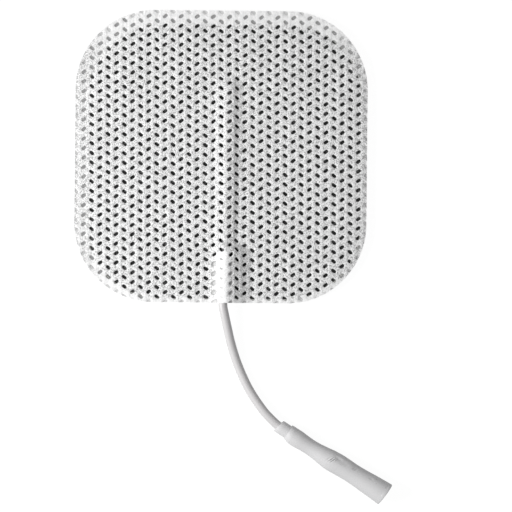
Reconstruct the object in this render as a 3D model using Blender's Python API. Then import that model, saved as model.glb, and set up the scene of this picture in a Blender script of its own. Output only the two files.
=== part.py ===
# Self-adhesive electrode pad with a short pigtail lead and a 2 mm pin socket.
# Metres, +Z up. The pad lies on its gel face, with the origin at the middle of that face.
# The lead leaves the front edge (-Y) and curves towards +X.

import math

import bmesh
import bpy
from mathutils import Matrix, Vector

# Pad
PAD_WIDTH = 0.050
PAD_LENGTH = 0.050
PAD_CORNER_RADIUS = 0.0136
CORNER_STEPS = 12

# Hydrogel on the skin side
GEL_THICKNESS = 0.0012
GEL_EDGE_INSET = 0.0002

# Carbon film, let into the top of the gel
FILM_THICKNESS = 0.00012
FILM_MARGIN_LEFT = 0.0020
FILM_MARGIN_RIGHT = 0.0010
FILM_MARGIN_BACK = 0.00235
FILM_MARGIN_FRONT = 0.00065
FILM_CORNER_CUT_BACK = 0.0008
FILM_RECESS_CLEARANCE = 0.0001

# Gap that stands for the glue between two laminated layers
BOND_GAP = 0.00005

# Cover cloth. The real one has a hole at every point of the lattice, and here
# only every third column and row is punched.
COVER_THICKNESS = 0.00035
HOLE_LENGTH = 0.00085
HOLE_WIDTH = 0.00048
HOLE_TILT = math.radians(33)
HOLE_COLUMN_PITCH = 0.001378
HOLE_ROW_PITCH = 0.001630
HOLE_CENTRE_X = -0.00001
HOLE_CENTRE_Y = 0.00029
HOLE_ROW_SLOPE = -0.0060
HOLE_COLUMN_LEAN = -0.0067
HOLE_EVERY = 3
HOLE_EDGE_MARGIN = 0.0011
HOLE_END_STEPS = 3

# Ridge that the cover makes over the lead: how far its feet lie from the lead
JACKET_FOOT_LEFT = 0.0026
JACKET_FOOT_RIGHT = 0.0045
STRAND_FOOT_LEFT = 0.0027
STRAND_FOOT_RIGHT = 0.0018
CREST_ROUNDING = 0.45
FOOT_ROUNDING = 0.30
RIDGE_STEP_LENGTH = 0.0018
RIDGE_FADE_LENGTH = 0.0016
RIDGE_COLUMNS = 16
RIDGE_LONG_ROWS = 7

# Lead
LEAD_DIAMETER = 0.0015
LEAD_IN_PAD = 0.0086
LEAD_STEPS = 12

# Bared strands between film and cover
STRAND_WIDTH = 0.0013
STRAND_HEIGHT = 0.0006
STRAND_END_WIDTH = 0.0018
STRAND_END_HEIGHT = 0.0003
STRAND_LENGTH = 0.0282
STRAND_DROP_LENGTH = 0.0018
STRAND_LOBES = 7
STRAND_LOBE_DEPTH = 0.07
STRAND_TWIST = math.radians(300)
STRAND_END_GAP = 0.0001
CONDUCTOR_DIAMETER = 0.0009

# Socket: the collar, the soft sleeve and the metal contact on one axis.
# Its back end lies at SOCKET_BACK_X, and SOCKET_BACK_FRONT in front of the pad.
SOCKET_BACK_X = 0.01054
SOCKET_BACK_FRONT = 0.02111
SOCKET_TURN = math.radians(-32.4)
SOCKET_LENGTH = 0.0215
SOCKET_SEGMENTS = 28
SLIDE_GAP = 0.00005

COLLAR_OUTER_DIAMETER = 0.00235
COLLAR_LENGTH = 0.0050
COLLAR_EXPOSED = 0.0017

# Sleeve outside: distance from the socket's back end, and diameter
SLEEVE_LIP_DIAMETER = 0.00273
SLEEVE_GRIP_DIAMETER = 0.0030
SLEEVE_WAIST_DIAMETER = 0.00273
SLEEVE_SWELL_DIAMETER = 0.00362
SLEEVE_NECK_DIAMETER = 0.00341
SLEEVE_MOUTH_DIAMETER = 0.0041
SLEEVE_SWELL_PLACE = 0.0116
SLEEVE_MOUTH_CHAMFER = 0.0003

CONTACT_RECESS = 0.0008
CONTACT_OUTER_DIAMETER = 0.00276
CONTACT_BORE_DIAMETER = 0.00205
CONTACT_BORE_DEPTH = 0.0103
CONTACT_LEAD_IN = 0.00018
CONTACT_SLIT_WIDTH = 0.0002
CONTACT_SLIT_LENGTH = 0.0080
BARREL_OUTER_DIAMETER = 0.0019
BARREL_BORE_DEPTH = 0.0032
BARREL_LENGTH = 0.0035
BARREL_SHOULDER_LENGTH = 0.0009
CRIMP_DEPTH = 0.00008

# Heights and places that follow from the sizes above
FRONT_Y = -PAD_LENGTH / 2
GEL_TOP = GEL_THICKNESS
COVER_BASE = GEL_TOP + BOND_GAP
LEAD_RADIUS = LEAD_DIAMETER / 2
LEAD_HEIGHT = COVER_BASE + LEAD_RADIUS
JACKET_LIFT = LEAD_DIAMETER + BOND_GAP
STRAND_LIFT = STRAND_HEIGHT + BOND_GAP
JACKET_END_Y = FRONT_Y + LEAD_IN_PAD
STRAND_START_Y = JACKET_END_Y + STRAND_END_GAP
STRAND_END_Y = STRAND_START_Y + STRAND_LENGTH

# Line of the lead under the cover: x, and y counted back from the front edge
LEAD_LINE_IN_PAD = [
    (0.00062, -0.0006),
    (0.00056, 0.0010),
    (0.00060, 0.0030),
    (0.00066, 0.0060),
    (0.00069, LEAD_IN_PAD),
]

# Line of the bared strands: x, and the share of their length
STRAND_LINE = [
    (0.00091, 0.10),
    (0.00110, 0.31),
    (0.00114, 0.61),
    (0.00117, 1.0),
]

# Free part of the lead: x, y counted forward from the front edge, and height
LEAD_ROUTE_FREE = [
    (0.00079, 0.0015, 0.00196),
    (0.00107, 0.0028, 0.00181),
    (0.00145, 0.0045, 0.00153),
    (0.00189, 0.0064, 0.00121),
    (0.00249, 0.0085, 0.00096),
    (0.00319, 0.0105, 0.00082),
    (0.00404, 0.0125, 0.00079),
    (0.00509, 0.0146, 0.00086),
    (0.00635, 0.0166, 0.00103),
    (0.00784, 0.0186, 0.00126),
    (0.00909, 0.0199, 0.00142),
]


def clear_scene():
    for old in list(bpy.data.objects):
        bpy.data.objects.remove(old, do_unlink=True)


def plain_material(name, colour, roughness, metallic=0.0, alpha=1.0):
    material = bpy.data.materials.new(name)
    material.use_nodes = True
    shader = material.node_tree.nodes["Principled BSDF"]
    shader.inputs["Base Color"].default_value = (*colour, 1.0)
    shader.inputs["Roughness"].default_value = roughness
    shader.inputs["Metallic"].default_value = metallic
    shader.inputs["Alpha"].default_value = alpha
    material.diffuse_color = (*colour, alpha)
    return material


def add_object(name, bm, material=None, parent=None, smooth_angle=35):
    bmesh.ops.recalc_face_normals(bm, faces=bm.faces)
    mesh = bpy.data.meshes.new(name)
    bm.to_mesh(mesh)
    bm.free()
    mesh.shade_smooth()
    mesh.set_sharp_from_angle(angle=math.radians(smooth_angle))
    part = bpy.data.objects.new(name, mesh)
    bpy.context.scene.collection.objects.link(part)
    if material:
        mesh.materials.append(material)
    if parent:
        part.parent = parent
    return part


def cut_with(part, cutter):
    cutter.hide_render = True
    cutter.display_type = "WIRE"
    cut = part.modifiers.new("cut", "BOOLEAN")
    cut.operation = "DIFFERENCE"
    cut.solver = "EXACT"
    cut.object = cutter


def smooth_step(value, low, high):
    share = min(max((value - low) / (high - low), 0.0), 1.0)
    return share * share * (3 - 2 * share)


def mix(start, end, share):
    return start + (end - start) * share


def interpolate(pairs, value):
    if value <= pairs[0][0]:
        return pairs[0][1]
    for (x0, y0), (x1, y1) in zip(pairs, pairs[1:]):
        if value <= x1:
            return mix(y0, y1, (value - x0) / (x1 - x0))
    return pairs[-1][1]


def smooth_curve(points, steps):
    """Points at even distances along a smooth curve through the given points."""
    ends = [2 * points[0] - points[1], *points, 2 * points[-1] - points[-2]]
    fine = []
    for before, start, end, after in zip(ends, ends[1:], ends[2:], ends[3:]):
        for part in range(12):
            t = part / 12
            fine.append(0.5 * (2 * start + (end - before) * t
                               + (2 * before - 5 * start + 4 * end - after) * t ** 2
                               + (3 * start - before - 3 * end + after) * t ** 3))
    fine.append(points[-1])
    lengths = [0.0]
    for start, end in zip(fine, fine[1:]):
        lengths.append(lengths[-1] + (end - start).length)
    even = []
    place = 0
    for step in range(steps + 1):
        target = lengths[-1] * step / steps
        while place < len(fine) - 2 and lengths[place + 1] < target:
            place += 1
        share = (target - lengths[place]) / (lengths[place + 1] - lengths[place])
        even.append(fine[place].lerp(fine[place + 1], share))
    return even


def rounded_outline(low_x, high_x, low_y, high_y, radius):
    corners = [
        (high_x - radius, high_y - radius, 0),
        (low_x + radius, high_y - radius, 90),
        (low_x + radius, low_y + radius, 180),
        (high_x - radius, low_y + radius, 270),
    ]
    outline = []
    for centre_x, centre_y, start in corners:
        for step in range(CORNER_STEPS + 1):
            angle = math.radians(start + 90 * step / CORNER_STEPS)
            outline.append((centre_x + radius * math.cos(angle), centre_y + radius * math.sin(angle)))
    return outline


def pad_outline(inset=0.0):
    half_x = PAD_WIDTH / 2 - inset
    half_y = PAD_LENGTH / 2 - inset
    return rounded_outline(-half_x, half_x, -half_y, half_y, PAD_CORNER_RADIUS - inset)


def film_outline(grow=0.0):
    return rounded_outline(
        -PAD_WIDTH / 2 + FILM_MARGIN_LEFT - grow,
        PAD_WIDTH / 2 - FILM_MARGIN_RIGHT + grow,
        -PAD_LENGTH / 2 + FILM_MARGIN_FRONT - grow,
        PAD_LENGTH / 2 - FILM_MARGIN_BACK + grow,
        PAD_CORNER_RADIUS - FILM_CORNER_CUT_BACK + grow,
    )


def add_slab(bm, outline, low, high):
    face = bm.faces.new([bm.verts.new((x, y, low)) for x, y in outline])
    top = bmesh.ops.extrude_face_region(bm, geom=[face])
    moved = [item for item in top["geom"] if isinstance(item, bmesh.types.BMVert)]
    bmesh.ops.translate(bm, vec=(0, 0, high - low), verts=moved)


def lead_x(y):
    line = [(FRONT_Y + back, x) for x, back in LEAD_LINE_IN_PAD]
    line += [(STRAND_START_Y + share * STRAND_LENGTH, x) for x, share in STRAND_LINE]
    return interpolate(line, y)


def tent(share):
    """Height of the ridge's side, from 1 at the crest to 0 at the foot."""
    slope = 1 / (1 - CREST_ROUNDING / 2 - FOOT_ROUNDING / 2)
    if share < CREST_ROUNDING:
        return 1 - slope * share ** 2 / (2 * CREST_ROUNDING)
    if share < 1 - FOOT_ROUNDING:
        return 1 - slope * (share - CREST_ROUNDING / 2)
    if share < 1:
        return slope * (1 - share) ** 2 / (2 * FOOT_ROUNDING)
    return 0.0


def ridge_lift(x, y):
    bare = smooth_step(y, JACKET_END_Y, JACKET_END_Y + RIDGE_STEP_LENGTH)
    fade = 1 - smooth_step(y, STRAND_END_Y, STRAND_END_Y + RIDGE_FADE_LENGTH)
    lift = mix(JACKET_LIFT, STRAND_LIFT, bare) * fade
    across = x - lead_x(y)
    if across < 0:
        foot = mix(JACKET_FOOT_LEFT, STRAND_FOOT_LEFT, bare)
    else:
        foot = mix(JACKET_FOOT_RIGHT, STRAND_FOOT_RIGHT, bare)
    return lift * tent(abs(across) / foot)


def ridge_columns():
    low = min(lead_x(FRONT_Y), lead_x(STRAND_END_Y)) - max(JACKET_FOOT_LEFT, STRAND_FOOT_LEFT)
    high = max(lead_x(FRONT_Y), lead_x(STRAND_END_Y)) + max(JACKET_FOOT_RIGHT, STRAND_FOOT_RIGHT)
    return [mix(low, high, step / RIDGE_COLUMNS) for step in range(RIDGE_COLUMNS + 1)]


def ridge_rows():
    rows = [mix(FRONT_Y, JACKET_END_Y, share) for share in (0.33, 0.66, 1.0)]
    step_end = JACKET_END_Y + RIDGE_STEP_LENGTH
    rows += [mix(JACKET_END_Y, step_end, share) for share in (0.25, 0.5, 0.75, 1.0)]
    rows += [mix(step_end, STRAND_END_Y, step / RIDGE_LONG_ROWS) for step in range(1, RIDGE_LONG_ROWS + 1)]
    fade_end = STRAND_END_Y + RIDGE_FADE_LENGTH
    rows += [mix(STRAND_END_Y, fade_end, share) for share in (0.33, 0.66, 1.0)]
    return rows


def inside_pad(x, y, margin):
    over_x = max(abs(x) - (PAD_WIDTH / 2 - PAD_CORNER_RADIUS), 0.0)
    over_y = max(abs(y) - (PAD_LENGTH / 2 - PAD_CORNER_RADIUS), 0.0)
    return math.hypot(over_x, over_y) < PAD_CORNER_RADIUS - margin


def hole_places():
    places = []
    columns = int(PAD_WIDTH / HOLE_COLUMN_PITCH / 2) + 1
    rows = int(PAD_LENGTH / HOLE_ROW_PITCH / 2) + 2
    for column in range(-columns, columns + 1):
        for row in range(-rows, rows + 1):
            if column % HOLE_EVERY or row % HOLE_EVERY:
                continue
            leans_back = column % 2 == 0
            y = HOLE_CENTRE_Y + HOLE_ROW_PITCH * (row if leans_back else row + 0.5)
            x = HOLE_CENTRE_X + HOLE_COLUMN_PITCH * column + HOLE_COLUMN_LEAN * y
            y += HOLE_ROW_SLOPE * x
            if inside_pad(x, y, HOLE_EDGE_MARGIN):
                places.append((x, y, -HOLE_TILT if leans_back else HOLE_TILT))
    return places


def hole_outline(x, y, turn):
    radius = HOLE_WIDTH / 2
    reach = (HOLE_LENGTH - HOLE_WIDTH) / 2
    outline = []
    for side in (1, -1):
        for step in range(HOLE_END_STEPS + 1):
            angle = math.radians(-90 + 180 * step / HOLE_END_STEPS)
            along = side * (reach + radius * math.cos(angle))
            aside = side * radius * math.sin(angle)
            outline.append((x + along * math.cos(turn) - aside * math.sin(turn),
                            y + along * math.sin(turn) + aside * math.cos(turn)))
    return outline


def cover_fabric():
    bm = bmesh.new()
    bm.faces.new([bm.verts.new((x, y, 0)) for x, y in pad_outline()])
    for x in ridge_columns():
        bmesh.ops.bisect_plane(bm, geom=bm.verts[:] + bm.edges[:] + bm.faces[:],
                               plane_co=(x, 0, 0), plane_no=(1, 0, 0), dist=1e-6)
    for y in ridge_rows():
        bmesh.ops.bisect_plane(bm, geom=bm.verts[:] + bm.edges[:] + bm.faces[:],
                               plane_co=(0, y, 0), plane_no=(0, 1, 0), dist=1e-6)
    for vert in bm.verts:
        vert.co.z = COVER_BASE + ridge_lift(vert.co.x, vert.co.y)
    top = bmesh.ops.extrude_face_region(bm, geom=bm.faces[:])
    moved = [item for item in top["geom"] if isinstance(item, bmesh.types.BMVert)]
    bmesh.ops.translate(bm, vec=(0, 0, COVER_THICKNESS), verts=moved)
    bmesh.ops.triangulate(bm, faces=bm.faces[:])
    cloth = plain_material("cover_fabric", (0.85, 0.85, 0.85), 0.85)
    cover = add_object("cover_fabric", bm, cloth)

    holes = bmesh.new()
    above = COVER_BASE + JACKET_LIFT + 2 * COVER_THICKNESS
    for x, y, turn in hole_places():
        add_slab(holes, hole_outline(x, y, turn), GEL_TOP, above)
    cut_with(cover, add_object("hole_punches", holes))
    return cover


def gel_layer():
    bm = bmesh.new()
    add_slab(bm, pad_outline(GEL_EDGE_INSET), 0.0, GEL_TOP)
    gel_colour = plain_material("gel_layer", (0.80, 0.81, 0.74), 0.15, alpha=0.85)
    gel = add_object("gel_layer", bm, gel_colour)
    recess = bmesh.new()
    floor = GEL_TOP - FILM_THICKNESS - BOND_GAP
    add_slab(recess, film_outline(FILM_RECESS_CLEARANCE), floor, GEL_TOP + FILM_THICKNESS)
    cut_with(gel, add_object("film_recess", recess))
    return gel


def carbon_film():
    bm = bmesh.new()
    add_slab(bm, film_outline(), GEL_TOP - FILM_THICKNESS, GEL_TOP)
    return add_object("carbon_film", bm, plain_material("carbon_film", (0.025, 0.025, 0.027), 0.55))


def lobed_ring(bm, width, height, turn):
    """Ring of a twisted bundle's section, around the origin in the YZ plane."""
    ring = []
    for step in range(STRAND_LOBES * 4):
        angle = math.tau * step / (STRAND_LOBES * 4)
        depth = 1 - STRAND_LOBE_DEPTH * (1 - math.cos(STRAND_LOBES * (angle - turn)))
        ring.append(bm.verts.new((0, width / 2 * depth * math.cos(angle), height / 2 * depth * math.sin(angle))))
    return ring


def strand_bundle(name, stations, material, parent=None):
    """Closed bundle through stations of place, direction, width, height and twist."""
    bm = bmesh.new()
    rings = []
    for place, heading, width, height, turn in stations:
        ring = lobed_ring(bm, width, height, turn)
        move = Matrix.Translation(place) @ heading.to_track_quat("X", "Z").to_matrix().to_4x4()
        bmesh.ops.transform(bm, matrix=move, verts=ring)
        rings.append(ring)
    for ring, following in zip(rings, rings[1:]):
        for corner, vert in enumerate(ring):
            before = corner - 1
            bm.faces.new((ring[before], vert, following[corner], following[before]))
    bm.faces.new(rings[0])
    bm.faces.new(rings[-1])
    return add_object(name, bm, material, parent)


def lead_strands(material):
    stations = []
    drop_end = STRAND_START_Y + STRAND_DROP_LENGTH
    rows = [mix(STRAND_START_Y, drop_end, share) for share in (0.0, 0.25, 0.5, 0.75, 1.0)]
    rows += [mix(drop_end, STRAND_END_Y, step / 8) for step in range(1, 9)]
    for y in rows:
        flat = smooth_step(y, STRAND_START_Y, drop_end)
        spread = smooth_step(y, drop_end, STRAND_END_Y)
        width = mix(mix(CONDUCTOR_DIAMETER, STRAND_WIDTH, flat), STRAND_END_WIDTH, spread)
        height = mix(mix(CONDUCTOR_DIAMETER, STRAND_HEIGHT, flat), STRAND_END_HEIGHT, spread)
        z = mix(LEAD_HEIGHT, COVER_BASE + height / 2, flat)
        twist = STRAND_TWIST * (y - STRAND_START_Y) / STRAND_LENGTH
        stations.append((Vector((lead_x(y), y, z)), Vector((0, 1, 0)), width, height, twist))
    return strand_bundle("lead_strands", stations, material)


def socket_tilt():
    """The socket lies on its mouth and its swell, so its axis rises a little to the mouth."""
    rise = (SLEEVE_MOUTH_DIAMETER - SLEEVE_SWELL_DIAMETER) / 2
    return math.atan2(rise, SOCKET_LENGTH - SLEEVE_SWELL_PLACE)


def socket_axis():
    tilt = socket_tilt()
    axis = bpy.data.objects.new("socket_axis", None)
    axis.empty_display_size = SOCKET_LENGTH / 4
    bpy.context.scene.collection.objects.link(axis)
    back_height = SLEEVE_MOUTH_DIAMETER / 2 / math.cos(tilt) - SOCKET_LENGTH * math.sin(tilt)
    axis.location = (SOCKET_BACK_X, FRONT_Y - SOCKET_BACK_FRONT, back_height)
    axis.rotation_euler = (0, -tilt, SOCKET_TURN)
    return axis


def on_socket_axis(axis, along):
    frame = Matrix.Translation(axis.location) @ axis.rotation_euler.to_matrix().to_4x4()
    return frame @ Vector((along, 0, 0))


def turned(name, profile, material, parent):
    """Solid of revolution about +X from a closed profile of distance along and diameter."""
    bm = bmesh.new()
    corners = [bm.verts.new((along, 0, diameter / 2)) for along, diameter in profile]
    edges = [bm.edges.new((corners[place - 1], corners[place])) for place in range(len(corners))]
    bmesh.ops.spin(bm, geom=corners + edges, cent=(0, 0, 0), axis=(1, 0, 0), angle=math.tau,
                   steps=SOCKET_SEGMENTS, use_merge=True)
    bmesh.ops.remove_doubles(bm, verts=bm.verts[:], dist=1e-6)
    return add_object(name, bm, material, parent)


def barrel_start():
    return COLLAR_LENGTH + 4 * SLIDE_GAP


def shoulder_start():
    return barrel_start() + BARREL_LENGTH


def tube_start():
    return shoulder_start() + BARREL_SHOULDER_LENGTH


def wire_collar(axis):
    profile = [
        (0, COLLAR_OUTER_DIAMETER),
        (COLLAR_LENGTH, COLLAR_OUTER_DIAMETER),
        (COLLAR_LENGTH, LEAD_DIAMETER + 2 * SLIDE_GAP),
        (0, LEAD_DIAMETER + 2 * SLIDE_GAP),
    ]
    return turned("wire_collar", profile, plain_material("wire_collar", (0.80, 0.80, 0.78), 0.45), axis)


def socket_sleeve(axis):
    outside = [
        (COLLAR_EXPOSED, SLEEVE_LIP_DIAMETER),
        (0.0026, SLEEVE_GRIP_DIAMETER),
        (0.0038, SLEEVE_GRIP_DIAMETER),
        (0.0050, mix(SLEEVE_GRIP_DIAMETER, SLEEVE_WAIST_DIAMETER, 0.65)),
        (0.0062, SLEEVE_WAIST_DIAMETER),
        (0.0074, mix(SLEEVE_WAIST_DIAMETER, SLEEVE_SWELL_DIAMETER, 0.13)),
        (0.0088, mix(SLEEVE_WAIST_DIAMETER, SLEEVE_SWELL_DIAMETER, 0.52)),
        (0.0102, mix(SLEEVE_WAIST_DIAMETER, SLEEVE_SWELL_DIAMETER, 0.92)),
        (SLEEVE_SWELL_PLACE, SLEEVE_SWELL_DIAMETER),
        (0.0132, mix(SLEEVE_SWELL_DIAMETER, SLEEVE_NECK_DIAMETER, 0.55)),
        (0.0150, SLEEVE_NECK_DIAMETER),
        (0.0170, mix(SLEEVE_NECK_DIAMETER, SLEEVE_MOUTH_DIAMETER, 0.27)),
        (0.0194, mix(SLEEVE_NECK_DIAMETER, SLEEVE_MOUTH_DIAMETER, 0.68)),
        (SOCKET_LENGTH, SLEEVE_MOUTH_DIAMETER),
    ]
    bore = CONTACT_OUTER_DIAMETER + 2 * SLIDE_GAP
    throat = BARREL_OUTER_DIAMETER + 2 * SLIDE_GAP
    collar_seat = COLLAR_OUTER_DIAMETER + 2 * SLIDE_GAP
    inside = [
        (SOCKET_LENGTH, bore + 2 * SLEEVE_MOUTH_CHAMFER),
        (SOCKET_LENGTH - SLEEVE_MOUTH_CHAMFER, bore),
        (tube_start() - SLIDE_GAP, bore),
        (shoulder_start() - SLIDE_GAP, throat),
        (COLLAR_LENGTH + 2 * SLIDE_GAP, throat),
        (COLLAR_LENGTH + 2 * SLIDE_GAP, collar_seat),
        (COLLAR_EXPOSED, collar_seat),
    ]
    return turned("socket_sleeve", outside + inside,
                  plain_material("socket_sleeve", (0.80, 0.80, 0.78), 0.5), axis)


def socket_contact(axis):
    mouth = SOCKET_LENGTH - CONTACT_RECESS
    barrel_bore = CONDUCTOR_DIAMETER + 2 * SLIDE_GAP
    crimp_middle = barrel_start() + BARREL_LENGTH / 2
    crimp_half = BARREL_LENGTH / 5
    profile = [
        (barrel_start(), barrel_bore),
        (barrel_start(), BARREL_OUTER_DIAMETER),
        (crimp_middle - crimp_half, BARREL_OUTER_DIAMETER),
        (crimp_middle, BARREL_OUTER_DIAMETER - 2 * CRIMP_DEPTH),
        (crimp_middle + crimp_half, BARREL_OUTER_DIAMETER),
        (shoulder_start(), BARREL_OUTER_DIAMETER),
        (tube_start(), CONTACT_OUTER_DIAMETER),
        (mouth - CONTACT_LEAD_IN / 2, CONTACT_OUTER_DIAMETER),
        (mouth, CONTACT_OUTER_DIAMETER - CONTACT_LEAD_IN),
        (mouth, CONTACT_BORE_DIAMETER + 2 * CONTACT_LEAD_IN),
        (mouth - CONTACT_LEAD_IN, CONTACT_BORE_DIAMETER),
        (mouth - CONTACT_BORE_DEPTH, CONTACT_BORE_DIAMETER),
        (mouth - CONTACT_BORE_DEPTH, 0),
        (barrel_start() + BARREL_BORE_DEPTH, 0),
        (barrel_start() + BARREL_BORE_DEPTH, barrel_bore),
    ]
    nickel = plain_material("socket_contact", (0.72, 0.69, 0.64), 0.28, metallic=1.0)
    contact = turned("socket_contact", profile, nickel, axis)
    slit = bmesh.new()
    bmesh.ops.create_cube(slit, size=1)
    bmesh.ops.scale(slit, vec=(2 * CONTACT_SLIT_LENGTH, CONTACT_SLIT_WIDTH, 2 * CONTACT_OUTER_DIAMETER),
                    verts=slit.verts)
    bmesh.ops.translate(slit, vec=(mouth, 0, 0), verts=slit.verts)
    cut_with(contact, add_object("contact_slit", slit, parent=axis))
    return contact


def crimp_strands(axis, material):
    start = lead_reach() + STRAND_END_GAP
    end = barrel_start() + BARREL_BORE_DEPTH - STRAND_END_GAP
    stations = []
    for step in range(5):
        place = Vector((mix(start, end, step / 4), 0, 0))
        stations.append((place, Vector((1, 0, 0)), CONDUCTOR_DIAMETER, CONDUCTOR_DIAMETER,
                         STRAND_TWIST * (end - start) / STRAND_LENGTH * step / 4))
    return strand_bundle("crimp_strands", stations, material, axis)


def lead_reach():
    """How far the jacket goes into the collar."""
    return COLLAR_LENGTH - 4 * SLIDE_GAP


def lead_wire(axis):
    route = [Vector((x, FRONT_Y + back, LEAD_HEIGHT)) for x, back in reversed(LEAD_LINE_IN_PAD)]
    route += [Vector((x, FRONT_Y - forward, height)) for x, forward, height in LEAD_ROUTE_FREE]
    route.append(on_socket_axis(axis, -LEAD_RADIUS / 2))
    points = smooth_curve(route, LEAD_STEPS)
    points += [on_socket_axis(axis, lead_reach() / 2), on_socket_axis(axis, lead_reach())]
    curve = bpy.data.curves.new("lead_wire", "CURVE")
    curve.dimensions = "3D"
    curve.bevel_depth = LEAD_RADIUS
    curve.bevel_resolution = 2
    curve.use_fill_caps = True
    spline = curve.splines.new("POLY")
    spline.points.add(len(points) - 1)
    for point, place in zip(spline.points, points):
        point.co = (*place, 1)
    curve.materials.append(plain_material("lead_wire", (0.84, 0.84, 0.83), 0.35))
    wire = bpy.data.objects.new("lead_wire", curve)
    bpy.context.scene.collection.objects.link(wire)
    return wire


def build():
    clear_scene()
    strands = plain_material("strands", (0.05, 0.05, 0.055), 0.4)
    gel_layer()
    carbon_film()
    lead_strands(strands)
    cover_fabric()
    axis = socket_axis()
    lead_wire(axis)
    wire_collar(axis)
    crimp_strands(axis, strands)
    socket_contact(axis)
    socket_sleeve(axis)


build()
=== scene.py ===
import math

import bmesh
import bpy
from mathutils import Matrix, Vector, noise


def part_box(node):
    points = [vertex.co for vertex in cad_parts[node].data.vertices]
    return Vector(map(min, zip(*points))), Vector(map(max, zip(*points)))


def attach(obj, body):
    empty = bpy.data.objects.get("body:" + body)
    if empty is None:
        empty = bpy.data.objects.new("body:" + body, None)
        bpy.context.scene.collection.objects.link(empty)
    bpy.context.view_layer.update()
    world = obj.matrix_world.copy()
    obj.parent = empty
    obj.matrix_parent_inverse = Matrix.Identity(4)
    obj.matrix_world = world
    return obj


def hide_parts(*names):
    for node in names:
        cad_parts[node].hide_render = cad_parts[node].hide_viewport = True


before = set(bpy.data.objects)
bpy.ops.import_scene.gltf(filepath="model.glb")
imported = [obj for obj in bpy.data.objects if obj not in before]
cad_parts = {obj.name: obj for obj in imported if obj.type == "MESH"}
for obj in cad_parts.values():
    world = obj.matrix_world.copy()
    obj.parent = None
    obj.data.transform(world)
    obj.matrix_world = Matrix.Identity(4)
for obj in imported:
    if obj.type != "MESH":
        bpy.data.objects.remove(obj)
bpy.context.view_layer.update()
coverLow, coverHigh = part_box("cover_fabric")
gelLow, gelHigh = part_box("gel_layer")
filmLow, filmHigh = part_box("carbon_film")
print("stage: frame loaded")


# small helpers

def mix(start, end, share):
    return start + (end - start) * share


def smoothStep(value, low, high):
    share = min(max((value - low) / (high - low), 0.0), 1.0)
    return share * share * (3 - 2 * share)


def bump(value, middle, halfWidth):
    share = abs(value - middle) / halfWidth
    return (1 - share * share) ** 2 if share < 1 else 0.0


def between(pairs, value):
    if value <= pairs[0][0]:
        return pairs[0][1]
    for (x0, y0), (x1, y1) in zip(pairs, pairs[1:]):
        if value <= x1:
            return mix(y0, y1, (value - x0) / (x1 - x0))
    return pairs[-1][1]


def smoothRoute(points, partsEach):
    # Catmull-Rom curve through all the points
    ends = [2 * points[0] - points[1], *points, 2 * points[-1] - points[-2]]
    route = []
    for before, start, end, after in zip(ends, ends[1:], ends[2:], ends[3:]):
        for part in range(partsEach):
            t = part / partsEach
            route.append(0.5 * (2 * start + (end - before) * t
                                + (2 * before - 5 * start + 4 * end - after) * t ** 2
                                + (3 * start - before - 3 * end + after) * t ** 3))
    route.append(points[-1])
    return route


def everything(bm):
    return bm.verts[:] + bm.edges[:] + bm.faces[:]


def newVerts(result):
    return [item for item in result["geom"] if isinstance(item, bmesh.types.BMVert)]


def newEdges(result):
    return [item for item in result["geom"] if isinstance(item, bmesh.types.BMEdge)]


def addPiece(name, bm, material, replaced=(), sharpAngle=40, turnOut=True):
    if turnOut:
        bmesh.ops.recalc_face_normals(bm, faces=bm.faces[:])
    mesh = bpy.data.meshes.new(name)
    bm.to_mesh(mesh)
    bm.free()
    mesh.shade_smooth()
    mesh.set_sharp_from_angle(angle=math.radians(sharpAngle))
    mesh.materials.append(material)
    piece = bpy.data.objects.new(name, mesh)
    bpy.context.scene.collection.objects.link(piece)
    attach(piece, "root")
    if replaced:
        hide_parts(*replaced)
    return piece


# node helpers

def newMaterial(name, **values):
    material = bpy.data.materials.new(name)
    material.use_nodes = True
    shader = material.node_tree.nodes["Principled BSDF"]
    for socket, value in values.items():
        shader.inputs[socket.replace("_", " ")].default_value = value
    return material, material.node_tree, shader


def addNode(tree, kind, **settings):
    node = tree.nodes.new(kind)
    for name, value in settings.items():
        setattr(node, name, value)
    return node


def mathNode(tree, operation, first, second):
    node = addNode(tree, "ShaderNodeMath", operation=operation)
    for place, value in enumerate((first, second)):
        if isinstance(value, (int, float)):
            node.inputs[place].default_value = value
        else:
            tree.links.new(value, node.inputs[place])
    return node.outputs[0]


def rangeNode(tree, value, fromMin, fromMax, toMin, toMax):
    node = addNode(tree, "ShaderNodeMapRange", clamp=True)
    tree.links.new(value, node.inputs["Value"])
    node.inputs["From Min"].default_value = fromMin
    node.inputs["From Max"].default_value = fromMax
    node.inputs["To Min"].default_value = toMin
    node.inputs["To Max"].default_value = toMax
    return node.outputs["Result"]


def mixColours(tree, share, first, second):
    node = addNode(tree, "ShaderNodeMix", data_type="RGBA")
    if isinstance(share, (int, float)):
        node.inputs[0].default_value = share
    else:
        tree.links.new(share, node.inputs[0])
    for place, colour in ((6, first), (7, second)):
        if isinstance(colour, tuple):
            node.inputs[place].default_value = (*colour, 1)
        else:
            tree.links.new(colour, node.inputs[place])
    return node.outputs[2]


def newGroup(name, inputs, outputs):
    group = bpy.data.node_groups.new(name, "ShaderNodeTree")
    for label, kind, value in inputs:
        socket = group.interface.new_socket(label, in_out="INPUT", socket_type=kind)
        if value is not None:
            socket.default_value = value
    for label, kind in outputs:
        group.interface.new_socket(label, in_out="OUTPUT", socket_type=kind)
    return group, group.nodes.new("NodeGroupInput"), group.nodes.new("NodeGroupOutput")


def useGroup(tree, group, **values):
    node = addNode(tree, "ShaderNodeGroup", node_tree=group)
    for name, value in values.items():
        node.inputs[name.replace("_", " ")].default_value = value
    coordinates = addNode(tree, "ShaderNodeTexCoord")
    tree.links.new(coordinates.outputs["Object"], node.inputs["Place"])
    return node


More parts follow.
